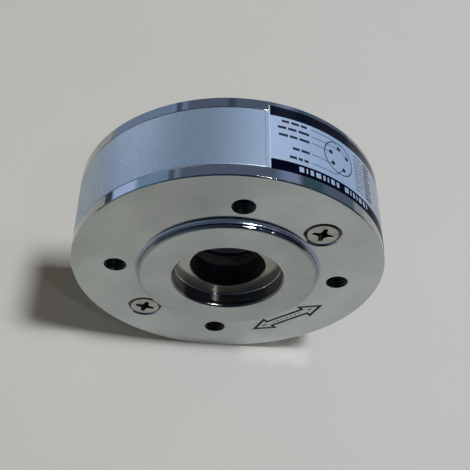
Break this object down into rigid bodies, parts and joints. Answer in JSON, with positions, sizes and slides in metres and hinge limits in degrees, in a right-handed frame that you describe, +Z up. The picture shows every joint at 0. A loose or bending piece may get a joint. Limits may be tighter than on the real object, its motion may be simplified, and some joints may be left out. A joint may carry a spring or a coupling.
{
  "type": "tension load cell",
  "caption": "Round flange-type tension load cell: polished load and base flanges, matte cover band, central register and bore, load arrow and a side receptacle.",
  "frame": {"origin": "on the disc axis, in the plane of the rear mounting face, at the centre of the rear bolt circle", "axes": "+Y out of the rear mounting face along the disc axis, so the load face looks towards -Y; +Z up, through a pair of opposite tapped holes, as the cell is bolted to a machine's side frame"},
  "size_m": [0.1001, 0.0312, 0.1001],
  "materials": {
    "polished_steel": "bright nickel plate over turned steel, fine turning marks",
    "band_alloy": "fine bead-blasted, clear anodised",
    "label_film": "printed white film",
    "screw_steel": "plated steel",
    "element_steel": "milled stainless steel",
    "sleeve_steel": "turned steel, dull",
    "seal_rubber": "moulded rubber",
    "receptacle_nickel": "nickel-plated brass",
    "insert_plastic": "moulded",
    "pin_gold": "gold flash",
    "board_laminate": "solder-masked laminate",
    "gauge_film": "polyimide film",
    "resistor_black": "moulded chip",
    "lead_sleeve": "woven sleeve",
    "wire_red": "insulation",
    "wire_black": "insulation",
    "wire_green": "insulation",
    "wire_yellow": "insulation",
    "wire_shield": "insulation over the drain wire"
  },
  "bodies": {
    "root": {"load_flange": "polished_steel", "base_flange": "polished_steel", "sensing_element": "element_steel", "cover_band": "band_alloy", "wiring_label": "label_film", "load_flange_screws": "screw_steel", "base_flange_screws": "screw_steel", "load_dowels": "element_steel", "base_dowels": "element_steel", "overload_stop_pins": "element_steel", "bore_sleeve": "sleeve_steel", "bore_seal": "seal_rubber", "front_band_seal": "seal_rubber", "rear_band_seal": "seal_rubber", "receptacle_shell": "receptacle_nickel", "receptacle_insert": "insert_plastic", "receptacle_pins": "pin_gold", "receptacle_gasket": "seal_rubber", "receptacle_backing": "band_alloy", "receptacle_nut": "receptacle_nickel", "strain_gauges": "gauge_film", "terminal_board": "board_laminate", "board_spacers": "insert_plastic", "board_screws": "screw_steel", "trim_resistors": "resistor_black", "gauge_leads": "lead_sleeve", "wire_shield": "wire_shield", "wire_green": "wire_green", "wire_black": "wire_black", "wire_red": "wire_red", "wire_yellow": "wire_yellow"}
  },
  "joints": []
}
